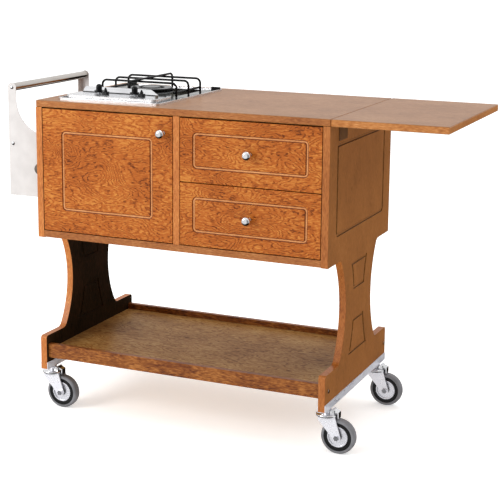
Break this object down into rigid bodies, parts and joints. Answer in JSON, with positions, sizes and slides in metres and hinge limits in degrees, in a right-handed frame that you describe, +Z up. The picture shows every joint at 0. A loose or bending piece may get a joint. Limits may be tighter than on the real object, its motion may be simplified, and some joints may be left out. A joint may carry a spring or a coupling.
{
  "type": "flambe cart",
  "caption": "Wooden flambe cart on swivel casters: inset gas hob, drop-leaf flap, door, drawers, lower shelf and a sheet-metal bottle rack with a push handle.",
  "frame": {"origin": "on the floor, at the centre of the footprint of the whole cart with its flap up", "axes": "+X along the cart towards the flap, +Y from the door and drawer fronts to the rear, +Z up"},
  "size_m": [1.227, 0.506, 0.897],
  "materials": {
    "front_wood": "satin",
    "side_wood": "satin",
    "top_wood": "satin",
    "inner_wood": "satin",
    "plywood": "matte",
    "stainless_steel": "satin",
    "rack_sheet": "satin",
    "chrome": "polished",
    "zinc_plate": "satin",
    "burner_alloy": "matte",
    "black_enamel": "gloss",
    "black_plastic": "satin",
    "gas_pipe": "satin",
    "wheel_centre": "satin",
    "grey_tyre": "matte",
    "rubber": "matte"
  },
  "bodies": {
    "cart": {"left_side_panel": "side_wood", "right_side_panel": "side_wood", "worktop": "top_wood", "cabinet_floor": "front_wood", "centre_divider": "front_wood", "back_panel": "inner_wood", "drawer_runners": "plywood", "shelf_board": "inner_wood", "shelf_rails": "inner_wood", "foot_channels": "chrome", "screws_and_bolts": "chrome", "rack_front_plate": "rack_sheet", "rack_rear_plate": "rack_sheet", "rack_floor": "rack_sheet", "bottle_rail": "stainless_steel", "handle_tube": "stainless_steel", "rubber_buffers": "rubber", "hob_tray": "stainless_steel", "burner_base": "burner_alloy", "gas_manifold": "gas_pipe", "igniter_bases": "black_plastic", "door_fittings": "zinc_plate", "flap_hinge_mounts": "zinc_plate", "caster_stems": "chrome"},
    "door": {"door_panel": "front_wood", "door_knob": "chrome", "door_hinge_cups": "zinc_plate"},
    "upper_drawer": {"upper_drawer_front": "front_wood", "upper_drawer_box": "plywood", "upper_drawer_knob": "chrome"},
    "lower_drawer": {"lower_drawer_front": "front_wood", "lower_drawer_box": "plywood", "lower_drawer_knob": "chrome"},
    "flap": {"flap_board": "top_wood", "flap_hinge_leaves": "zinc_plate"},
    "outer_ring": {"burner_outer_ring": "black_enamel"},
    "inner_cap": {"burner_inner_cap": "black_enamel"},
    "pan_grid": {"pan_support": "black_enamel"},
    "left_spindle": {"left_tap_spindle": "zinc_plate"},
    "right_spindle": {"right_tap_spindle": "zinc_plate"},
    "left_knob": {"left_tap_knob": "black_plastic"},
    "right_knob": {"right_tap_knob": "black_plastic"},
    "left_igniter": {"left_igniter_button": "black_plastic"},
    "right_igniter": {"right_igniter_button": "black_plastic"},
    "front_left_caster": {"front_left_fork": "chrome"},
    "front_left_wheel": {"front_left_hub": "wheel_centre", "front_left_tyre": "grey_tyre"},
    "front_left_brake_lever": {"front_left_brake": "chrome"},
    "front_right_caster": {"front_right_fork": "chrome"},
    "front_right_wheel": {"front_right_hub": "wheel_centre", "front_right_tyre": "grey_tyre"},
    "front_right_brake_lever": {"front_right_brake": "chrome"},
    "rear_left_caster": {"rear_left_fork": "chrome"},
    "rear_left_wheel": {"rear_left_hub": "wheel_centre", "rear_left_tyre": "grey_tyre"},
    "rear_left_brake_lever": {"rear_left_brake": "chrome"},
    "rear_right_caster": {"rear_right_fork": "chrome"},
    "rear_right_wheel": {"rear_right_hub": "wheel_centre", "rear_right_tyre": "grey_tyre"},
    "rear_right_brake_lever": {"rear_right_brake": "chrome"}
  },
  "joints": [
    {"name": "door_swing", "type": "hinge", "parent": "cart", "child": "door", "pos_m": [-0.4765, -0.227, 0.667], "axis": [0, 0, -1], "range_deg": [0, 105]},
    {"name": "upper_drawer_slide", "type": "slide", "parent": "cart", "child": "upper_drawer", "axis": [0, -1, 0], "range_m": [0, 0.33]},
    {"name": "lower_drawer_slide", "type": "slide", "parent": "cart", "child": "lower_drawer", "axis": [0, -1, 0], "range_m": [0, 0.33]},
    {"name": "flap_fold", "type": "hinge", "parent": "cart", "child": "flap", "pos_m": [0.3285, 0.013, 0.827], "axis": [0, 1, 0], "range_deg": [0, 90]},
    {"name": "outer_ring_lift", "type": "slide", "parent": "cart", "child": "outer_ring", "axis": [0, 0, 1], "range_m": [0, 0.008]},
    {"name": "inner_cap_lift", "type": "slide", "parent": "cart", "child": "inner_cap", "axis": [0, 0, 1], "range_m": [0, 0.008]},
    {"name": "pan_grid_lift", "type": "slide", "parent": "cart", "child": "pan_grid", "axis": [0, 0, 1], "range_m": [0, 0.08]},
    {"name": "left_tap_push", "type": "slide", "parent": "cart", "child": "left_spindle", "axis": [0, 0, -1], "range_m": [0, 0.003], "stiffness_N_per_m": 300, "springref_m": -0.005},
    {"name": "left_tap_turn", "type": "hinge", "parent": "left_spindle", "child": "left_knob", "pos_m": [-0.3725, -0.111, 0.87], "axis": [0, 0, 1], "range_deg": [0, 215]},
    {"name": "left_igniter_push", "type": "slide", "parent": "cart", "child": "left_igniter", "axis": [0, 0, -1], "range_m": [0, 0.003], "stiffness_N_per_m": 20, "springref_m": -0.005},
    {"name": "right_tap_push", "type": "slide", "parent": "cart", "child": "right_spindle", "axis": [0, 0, -1], "range_m": [0, 0.003], "stiffness_N_per_m": 300, "springref_m": -0.005},
    {"name": "right_tap_turn", "type": "hinge", "parent": "right_spindle", "child": "right_knob", "pos_m": [-0.2655, -0.111, 0.87], "axis": [0, 0, 1], "range_deg": [0, 215]},
    {"name": "right_igniter_push", "type": "slide", "parent": "cart", "child": "right_igniter", "axis": [0, 0, -1], "range_m": [0, 0.003], "stiffness_N_per_m": 20, "springref_m": -0.005},
    {"name": "front_left_swivel", "type": "hinge", "parent": "cart", "child": "front_left_caster", "pos_m": [-0.4875, -0.182, 0.1], "axis": [0, 0, 1], "continuous": true},
    {"name": "front_left_roll", "type": "hinge", "parent": "front_left_caster", "child": "front_left_wheel", "pos_m": [-0.4555, -0.182, 0.045], "axis": [0, 1, 0], "continuous": true},
    {"name": "front_left_brake_press", "type": "hinge", "parent": "front_left_caster", "child": "front_left_brake_lever", "pos_m": [-0.4705, -0.182, 0.1087], "axis": [0, 1, 0], "range_deg": [0, 6]},
    {"name": "front_right_swivel", "type": "hinge", "parent": "cart", "child": "front_right_caster", "pos_m": [0.3145, -0.182, 0.1], "axis": [0, 0, 1], "continuous": true},
    {"name": "front_right_roll", "type": "hinge", "parent": "front_right_caster", "child": "front_right_wheel", "pos_m": [0.3465, -0.182, 0.045], "axis": [0, 1, 0], "continuous": true},
    {"name": "front_right_brake_press", "type": "hinge", "parent": "front_right_caster", "child": "front_right_brake_lever", "pos_m": [0.3315, -0.182, 0.1087], "axis": [0, 1, 0], "range_deg": [0, 6]},
    {"name": "rear_left_swivel", "type": "hinge", "parent": "cart", "child": "rear_left_caster", "pos_m": [-0.4875, 0.208, 0.1], "axis": [0, 0, 1], "continuous": true},
    {"name": "rear_left_roll", "type": "hinge", "parent": "rear_left_caster", "child": "rear_left_wheel", "pos_m": [-0.4555, 0.208, 0.045], "axis": [0, 1, 0], "continuous": true},
    {"name": "rear_left_brake_press", "type": "hinge", "parent": "rear_left_caster", "child": "rear_left_brake_lever", "pos_m": [-0.4705, 0.208, 0.1087], "axis": [0, 1, 0], "range_deg": [0, 6]},
    {"name": "rear_right_swivel", "type": "hinge", "parent": "cart", "child": "rear_right_caster", "pos_m": [0.3145, 0.208, 0.1], "axis": [0, 0, 1], "continuous": true},
    {"name": "rear_right_roll", "type": "hinge", "parent": "rear_right_caster", "child": "rear_right_wheel", "pos_m": [0.3465, 0.208, 0.045], "axis": [0, 1, 0], "continuous": true},
    {"name": "rear_right_brake_press", "type": "hinge", "parent": "rear_right_caster", "child": "rear_right_brake_lever", "pos_m": [0.3315, 0.208, 0.1087], "axis": [0, 1, 0], "range_deg": [0, 6]}
  ]
}
